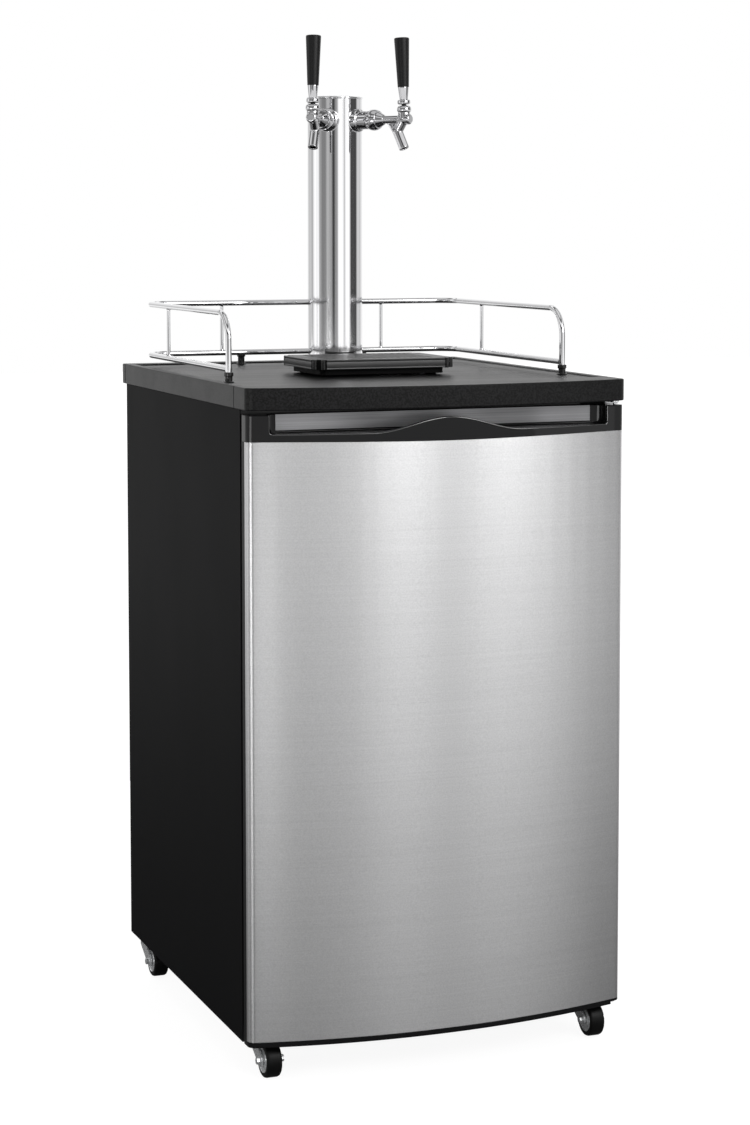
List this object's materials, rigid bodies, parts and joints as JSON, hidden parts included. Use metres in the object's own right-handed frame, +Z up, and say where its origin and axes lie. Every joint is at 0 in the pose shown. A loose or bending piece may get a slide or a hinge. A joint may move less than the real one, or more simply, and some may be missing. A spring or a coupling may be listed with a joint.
{
  "type": "cold brew kegerator",
  "caption": "Insulated keg cabinet on casters with a bowed stainless door, guard-railed worktop, drip tray and a polished tower with tap faucets.",
  "frame": {"origin": "on the floor under the middle of the part's plan", "axes": "+Z up, -Y towards the front of the door, +X towards the door's hinges"},
  "size_m": [0.515, 0.6019, 1.3195],
  "materials": {
    "black_steel": "satin",
    "foam": "matte",
    "white_liner": "gloss",
    "plain_steel": "satin",
    "aluminium": "satin",
    "dark_plastic": "satin",
    "black_moulding": "satin",
    "black_rubber": "matte",
    "stainless": "satin",
    "bright_strip": "gloss",
    "polished_steel": "polished",
    "brass": "satin",
    "plunger_steel": "satin",
    "gloss_black": "gloss",
    "grille_black": "matte"
  },
  "bodies": {
    "cabinet": {"cabinet_wrap": "black_steel", "back_panel": "black_steel", "base_pan": "black_steel", "cabinet_foam": "foam", "inner_liner": "white_liner", "keg_floor_plate": "plain_steel", "evaporator_plate": "aluminium", "thermostat_housing": "white_liner", "compressor": "black_steel", "condenser": "black_steel", "worktop": "black_moulding", "worktop_front_trim": "black_moulding", "worktop_rear_trim": "black_moulding", "line_grommet": "black_rubber", "gas_inlet_grommet": "black_rubber", "power_inlet": "black_rubber", "hinge_brackets": "plain_steel", "tower_column": "polished_steel", "tower_cap": "polished_steel", "tower_gasket": "black_rubber", "tower_screws": "plain_steel", "shank_left": "polished_steel", "shank_right": "polished_steel", "shank_nuts": "brass", "coupling_nuts": "polished_steel", "faucet_body_left": "polished_steel", "faucet_body_right": "polished_steel", "faucet_bonnet_left": "polished_steel", "faucet_bonnet_right": "polished_steel", "rail_upper": "polished_steel", "rail_lower": "polished_steel", "rail_struts": "polished_steel", "rail_feet": "black_rubber", "caster_sockets": "plain_steel"},
    "door": {"door_skin": "stainless", "door_top_cap": "black_moulding", "door_bottom_cap": "black_moulding", "door_liner": "black_moulding", "door_foam": "foam", "door_gasket": "black_rubber", "handle_insert": "bright_strip"},
    "lever_left": {"faucet_lever_left": "polished_steel", "handle_ferrule_left": "polished_steel", "tap_handle_left": "gloss_black"},
    "plunger_left": {"faucet_plunger_left": "plunger_steel"},
    "lever_right": {"faucet_lever_right": "polished_steel", "handle_ferrule_right": "polished_steel", "tap_handle_right": "gloss_black"},
    "plunger_right": {"faucet_plunger_right": "plunger_steel"},
    "caster_front_left": {"caster_fork_front_left": "plain_steel"},
    "wheel_front_left": {"caster_wheel_front_left": "black_rubber"},
    "caster_front_right": {"caster_fork_front_right": "plain_steel"},
    "wheel_front_right": {"caster_wheel_front_right": "black_rubber"},
    "caster_rear_left": {"caster_fork_rear_left": "plain_steel"},
    "wheel_rear_left": {"caster_wheel_rear_left": "black_rubber"},
    "caster_rear_right": {"caster_fork_rear_right": "plain_steel"},
    "wheel_rear_right": {"caster_wheel_rear_right": "black_rubber"},
    "tray": {"drip_tray": "gloss_black"},
    "grille": {"drip_grille": "grille_black"},
    "knob": {"thermostat_knob": "dark_plastic"}
  },
  "joints": [
    {"name": "door_hinge", "type": "hinge", "parent": "cabinet", "child": "door", "pos_m": [0.248, -0.255, 0.43975], "axis": [0, 0, 1], "range_deg": [0, 120]},
    {"name": "tap_left", "type": "hinge", "parent": "cabinet", "child": "lever_left", "pos_m": [-0.06596, 0.0268, 1.2225], "axis": [0.8192, -0.5736, 0], "range_deg": [0, 30]},
    {"name": "plunger_slide_left", "type": "slide", "parent": "cabinet", "child": "plunger_left", "axis": [-0.5736, -0.8192, 0], "range_m": [-0.0072, 0]},
    {"name": "tap_right", "type": "hinge", "parent": "cabinet", "child": "lever_right", "pos_m": [0.06596, 0.0268, 1.2225], "axis": [0.8192, 0.5736, 0], "range_deg": [0, 30]},
    {"name": "plunger_slide_right", "type": "slide", "parent": "cabinet", "child": "plunger_right", "axis": [0.5736, -0.8192, 0], "range_m": [-0.0072, 0]},
    {"name": "swivel_front_left", "type": "hinge", "parent": "cabinet", "child": "caster_front_left", "pos_m": [-0.2235, -0.217, 0.064], "axis": [0, 0, 1], "continuous": true},
    {"name": "wheel_spin_front_left", "type": "hinge", "parent": "caster_front_left", "child": "wheel_front_left", "pos_m": [-0.2235, -0.247, 0.022], "axis": [1, 0, 0], "continuous": true},
    {"name": "swivel_front_right", "type": "hinge", "parent": "cabinet", "child": "caster_front_right", "pos_m": [0.2235, -0.217, 0.064], "axis": [0, 0, 1], "continuous": true},
    {"name": "wheel_spin_front_right", "type": "hinge", "parent": "caster_front_right", "child": "wheel_front_right", "pos_m": [0.2235, -0.247, 0.022], "axis": [1, 0, 0], "continuous": true},
    {"name": "swivel_rear_left", "type": "hinge", "parent": "cabinet", "child": "caster_rear_left", "pos_m": [-0.238, 0.238, 0.064], "axis": [0, 0, 1], "continuous": true},
    {"name": "wheel_spin_rear_left", "type": "hinge", "parent": "caster_rear_left", "child": "wheel_rear_left", "pos_m": [-0.238, 0.208, 0.022], "axis": [1, 0, 0], "continuous": true},
    {"name": "swivel_rear_right", "type": "hinge", "parent": "cabinet", "child": "caster_rear_right", "pos_m": [0.238, 0.238, 0.064], "axis": [0, 0, 1], "continuous": true},
    {"name": "wheel_spin_rear_right", "type": "hinge", "parent": "caster_rear_right", "child": "wheel_rear_right", "pos_m": [0.238, 0.208, 0.022], "axis": [1, 0, 0], "continuous": true},
    {"name": "thermostat_turn", "type": "hinge", "parent": "cabinet", "child": "knob", "pos_m": [-0.145, 0.033, 0.776], "axis": [0, 1, 0], "range_deg": [0, 270]},
    {"name": "tray_lift", "type": "slide", "parent": "cabinet", "child": "tray", "axis": [0, 0, 1], "range_m": [0, 0.1]},
    {"name": "grille_lift", "type": "slide", "parent": "tray", "child": "grille", "axis": [0, 0, 1], "range_m": [0, 0.06]}
  ],
  "couplings": [
    {"joint": "plunger_slide_left", "follows": "tap_left", "m_per_rad": -0.01303},
    {"joint": "plunger_slide_right", "follows": "tap_right", "m_per_rad": -0.01303}
  ]
}
